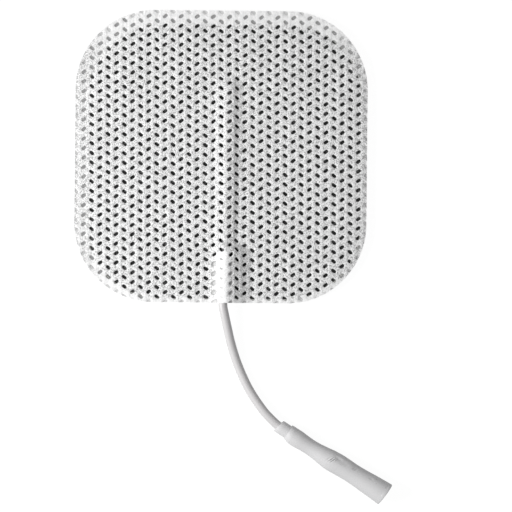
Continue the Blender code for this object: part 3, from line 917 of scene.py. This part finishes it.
def socketFrame():
    # the socket lies on its mouth and its swell
    rise = (socket["mouthDiameter"] - socket["swellDiameter"]) / 2
    tilt = math.atan2(rise, socket["length"] - socket["swellPlace"])
    height = socket["mouthDiameter"] / 2 / math.cos(tilt) - socket["length"] * math.sin(tilt)
    turn = Matrix.Rotation(socket["turn"], 4, "Z") @ Matrix.Rotation(-tilt, 4, "Y")
    return Matrix.Translation((*socket["back"], height)) @ turn


def strandMaterial():
    # fine dark threads along the strands, with pale glints
    material, tree, shader = newMaterial("carbonStrands", Roughness=0.45, Specular_IOR_Level=0.5)
    along = addNode(tree, "ShaderNodeVectorMath", operation="MULTIPLY")
    along.inputs[1].default_value = strands["threadScale"]
    tree.links.new(addNode(tree, "ShaderNodeTexCoord").outputs["Object"], along.inputs[0])
    threads = addNode(tree, "ShaderNodeTexNoise", noise_dimensions="3D")
    threads.inputs["Scale"].default_value = 1.0
    threads.inputs["Detail"].default_value = 2.0
    tree.links.new(along.outputs[0], threads.inputs["Vector"])
    shade = rangeNode(tree, threads.outputs["Fac"], *strands["threadRange"], 0.0, 1.0)
    tree.links.new(mixColours(tree, shade, *strands["colours"]), shader.inputs["Base Color"])
    addBump(tree, shader, threads.outputs["Fac"], 0.8, 0.00003)
    return material


def makeLead():
    onAxis = [socketFrame() @ Vector((along, 0, 0)) for along in lead["intoCollar"]]
    points = smoothRoute([Vector(place) for place in lead["route"]] + onAxis, lead["smoothness"])
    curve = bpy.data.curves.new("leadJacket", "CURVE")
    curve.dimensions = "3D"
    curve.bevel_depth = lead["diameter"] / 2
    curve.bevel_resolution = lead["roundness"]
    curve.use_fill_caps = True
    spline = curve.splines.new("POLY")
    spline.points.add(len(points) - 1)
    for point, place in zip(spline.points, points):
        point.co = (*place, 1)
    spline.use_smooth = True
    curve.materials.append(jacketMaterial())
    jacket = bpy.data.objects.new("leadJacket", curve)
    bpy.context.scene.collection.objects.link(jacket)
    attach(jacket, "root")
    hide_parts("lead_wire")
    print("stage: lead jacket")
    return jacket


def jacketMaterial():
    material, tree, shader = newMaterial("leadJacket", Roughness=0.38, Specular_IOR_Level=0.45)
    soft = useGroup(tree, softUneven, Broad=300.0, Fine=6000.0)
    colour = mixColours(tree, soft.outputs["Cloud"], *lead["colours"])
    tree.links.new(colour, shader.inputs["Base Color"])
    addBump(tree, shader, soft.outputs["Cloud"], 0.15, 0.00008)
    return material


# Sleeve: distance from the back end and diameter of its outside, of its mouth's rim and of its bore.
# Its skin bows off the straight bore (distance and shift).
sleeve = {
    "outside": [
        (0.0017, 0.00264), (0.0021, 0.00284), (0.0026, 0.00297), (0.0038, 0.0030), (0.0050, 0.00283),
        (0.0062, 0.00273), (0.0074, 0.00285), (0.0088, 0.00319), (0.0102, 0.00355),
        (0.0116, 0.00362), (0.0132, 0.00350), (0.0150, 0.00341), (0.0170, 0.00360),
        (0.0194, 0.00388), (0.0213, 0.00408),
    ],
    "mouthRounding": [(0.02142, 0.00407), (0.0215, 0.00398), (0.0215, 0.00362), (0.02142, 0.00350),
                      (0.0212, 0.00340), (0.0206, 0.00294)],
    "inside": [(0.0094, 0.00286), (0.0086, 0.0020), (0.0051, 0.0020), (0.0051, 0.00245),
               (0.00185, 0.00245)],
    "lip": [(0.0017, 0.00252)],
    "stationParts": 11,
    "bow": [(0.0017, 0.00004), (0.0026, -0.00011), (0.0090, -0.00011), (0.0108, -0.00006),
            (0.0120, 0.00003), (0.0135, 0.00006), (0.0170, 0.00006), (0.0185, 0.00009)],
    "skinShare": (0.90, 0.98),  # of the outside radius, where creases begin and where they are whole
    "mouthSlant": 0.00013,
    "slantPlace": 0.0208,
    "colours": ((0.632, 0.629, 0.636), (0.680, 0.677, 0.684)),
}

# Where the shrunk sleeve is pinched: distance from the back end, place round it, length, half width,
# turn out of the sleeve's line, and depth, which is below zero on a raised wrinkle
creases = [
    (0.00990, 0.00010, 0.0016, 0.00014, 1.12, 0.00010),
    (0.01010, 0.00015, 0.0017, 0.00013, 1.12, -0.00010),
    (0.01030, 0.00020, 0.0018, 0.00014, 1.12, 0.00013),
    (0.01050, 0.00026, 0.0018, 0.00013, 1.12, -0.00012),
    (0.01070, 0.00032, 0.0017, 0.00014, 1.12, 0.00011),
    (0.01090, 0.00040, 0.0015, 0.00013, 1.12, -0.00008),
    (0.01130, 0.00105, 0.0018, 0.00040, 0.10, 0.00009),
    (0.01230, 0.00085, 0.0034, 0.00075, 0.15, 0.00011),
    (0.01440, 0.00095, 0.0010, 0.00015, 1.10, 0.00012),
    (0.01480, 0.00105, 0.0011, 0.00015, 1.10, 0.00012),
    (0.01780, 0.00110, 0.0008, 0.00022, 0.60, 0.00009),
    (0.01870, 0.00180, 0.0008, 0.00022, 0.60, 0.00009),
    (0.02085, 0.00140, 0.0014, 0.00016, 1.50, 0.00005),
]


def smoothProfile(stations, parts):
    points = [Vector((along, diameter)) for along, diameter in stations]
    return [(point.x, point.y) for point in smoothRoute(points, parts)]


def turned(profile, segments):
    bm = bmesh.new()
    corners = [bm.verts.new((along, 0, diameter / 2)) for along, diameter in profile]
    edges = [bm.edges.new((corners[place - 1], corners[place])) for place in range(len(corners))]
    bmesh.ops.spin(bm, geom=corners + edges, cent=(0, 0, 0), axis=(1, 0, 0), angle=math.tau,
                   steps=segments, use_merge=True)
    bmesh.ops.remove_doubles(bm, verts=bm.verts[:], dist=socket["mergeDistance"])
    return bm


def creaseDepth(along, around):
    depth = 0.0
    for middle, side, length, halfWidth, lean, deepest in creases:
        ahead, beside = along - middle, around - side
        onLine = ahead * math.cos(lean) + beside * math.sin(lean)
        offLine = beside * math.cos(lean) - ahead * math.sin(lean)
        depth += deepest * bump(onLine, 0, length / 2) * bump(offLine, 0, halfWidth)
    return depth


def shapeSkin(bm):
    # the outside leaves the straight bore a little, and has its creases; the mouth is cut at a slant
    for vert in bm.verts:
        if vert.co.x > sleeve["slantPlace"]:
            vert.co.x -= sleeve["mouthSlant"] * (1 - 2 * vert.co.y / socket["mouthDiameter"])
        along, radius = vert.co.x, math.hypot(vert.co.y, vert.co.z)
        outside = between(sleeve["outside"], along) / 2
        skin = smoothStep(radius / outside, *sleeve["skinShare"])
        depth = creaseDepth(along, math.atan2(vert.co.y, vert.co.z) * radius) * skin
        vert.co.y *= 1 - depth / radius
        vert.co.z *= 1 - depth / radius
        vert.co.y += between(sleeve["bow"], along) * skin


def makeSleeve():
    skin = smoothProfile(sleeve["outside"], sleeve["stationParts"])
    bm = turned(skin + sleeve["mouthRounding"] + sleeve["inside"] + sleeve["lip"], socket["segments"])
    shapeSkin(bm)
    bmesh.ops.transform(bm, matrix=socketFrame(), verts=bm.verts[:])
    piece = addPiece("socketSleeve", bm, sleeveMaterial(), ["socket_sleeve"],
                     sharpAngle=50)
    print("stage: socket sleeve")
    return piece


def sleeveMaterial():
    material, tree, shader = newMaterial("socketSleeve", Roughness=0.52, Specular_IOR_Level=0.4)
    soft = useGroup(tree, softUneven, Broad=220.0, Fine=7000.0)
    colour = mixColours(tree, soft.outputs["Cloud"], *sleeve["colours"])
    tree.links.new(colour, shader.inputs["Base Color"])
    addBump(tree, shader, soft.outputs["Cloud"], 0.2, 0.0001)
    return material


collar = {
    "slant": 0.00054,
    "slantLength": 0.0022,
    "diameter": 0.00235,
    "profile": [(0.0, 0.00224), (0.00009, 0.00235), (0.0007, 0.00235), (0.0014, 0.00235), (0.0022, 0.00235),
                (0.0050, 0.00235), (0.0050, 0.0016), (0.0022, 0.0016), (0.0014, 0.0016), (0.0007, 0.0016),
                (0.00008, 0.0016), (0.0, 0.00172)],
}


def makeCollar():
    bm = turned(collar["profile"], socket["segments"])
    for vert in bm.verts:
        # its back end gives way to the lead, which comes in at a slant
        below = 0.5 - vert.co.y / collar["diameter"]
        vert.co.x -= collar["slant"] * below * (1 - smoothStep(vert.co.x, 0, collar["slantLength"]))
    bmesh.ops.transform(bm, matrix=socketFrame(), verts=bm.verts[:])
    piece = addPiece("wireCollar", bm, sleeveMaterial(), ["wire_collar"])
    print("stage: collar")
    return piece


# Nickel contact: its outside and its two bores, from the crimp end to the mouth and back
contact = {
    "profile": [(0.0052, 0.0019), (0.00625, 0.0019), (0.0065, 0.00178), (0.00695, 0.00174),
                (0.0074, 0.00178), (0.00765, 0.0019), (0.0087, 0.0019), (0.0088, 0.0021),
                (0.0096, 0.00276), (0.0206, 0.00276), (0.0207, 0.00258), (0.0207, 0.00241),
                (0.02052, 0.00205), (0.0104, 0.00205), (0.0104, 0.0)],
    "crimpBore": [(0.0084, 0.0), (0.0084, 0.0010), (0.0052, 0.0010)],
    "segments": 64,
    "slitWidth": 0.0002,
    "slitLength": 0.0080,
    "mouth": 0.0207,
    "colours": ((0.66, 0.62, 0.56), (0.78, 0.75, 0.70)),
    "roughness": (0.22, 0.36),
}


def makeContact():
    bm = turned(contact["profile"] + contact["crimpBore"], contact["segments"])
    bmesh.ops.recalc_face_normals(bm, faces=bm.faces[:])
    body = bpy.data.meshes.new("contactBody")
    bm.to_mesh(body)
    bm.free()
    blank = bpy.data.objects.new("contactBlank", body)
    cutter = slitCutter()
    for item in (blank, cutter):
        bpy.context.scene.collection.objects.link(item)
    slit = blank.modifiers.new("slit", "BOOLEAN")
    slit.object = cutter
    slit.operation = "DIFFERENCE"
    bm = bmesh.new()
    bm.from_object(blank, bpy.context.evaluated_depsgraph_get())
    bpy.data.objects.remove(blank)
    bpy.data.objects.remove(cutter)
    bmesh.ops.transform(bm, matrix=socketFrame(), verts=bm.verts[:])
    piece = addPiece("socketContact", bm, nickelMaterial(), ["socket_contact"],
                     sharpAngle=25)
    print("stage: contact,", len(piece.data.polygons), "faces")
    return piece


def slitCutter():
    # a thin upright block through the mouth half of the contact
    bm = bmesh.new()
    cube = bmesh.ops.create_cube(bm, size=1)["verts"]
    length = contact["slitLength"] * 2
    bmesh.ops.scale(bm, verts=cube, vec=(length, contact["slitWidth"], socket["mouthDiameter"]))
    bmesh.ops.translate(bm, verts=cube, vec=(contact["mouth"], 0, 0))
    mesh = bpy.data.meshes.new("slitCutter")
    bm.to_mesh(mesh)
    bm.free()
    return bpy.data.objects.new("slitCutter", mesh)


def nickelMaterial():
    material, tree, shader = newMaterial("nickelPlate", Metallic=1.0)
    soft = useGroup(tree, softUneven, Broad=500.0, Fine=9000.0)
    colour = mixColours(tree, soft.outputs["Cloud"], *contact["colours"])
    tree.links.new(colour, shader.inputs["Base Color"])
    worn = rangeNode(tree, soft.outputs["Grain"], 0.3, 0.7, *contact["roughness"])
    tree.links.new(worn, shader.inputs["Roughness"])
    return material


makeCover()
makeGel()
dress("carbon_film", filmMaterial())
jacket = makeLead()
collarPiece = makeCollar()
sleevePiece = makeSleeve()
contactPiece = makeContact()
strandFinish = strandMaterial()
dress("lead_strands", strandFinish)
dress("crimp_strands", strandFinish)

addCamera()
addLamp("keyLight", lamps["keyPlace"], lamps["keySize"], lamps["keyWatts"])
addSurround()
addFloor()
bpy.context.scene.view_settings.view_transform = "Standard"

print("stage: done")
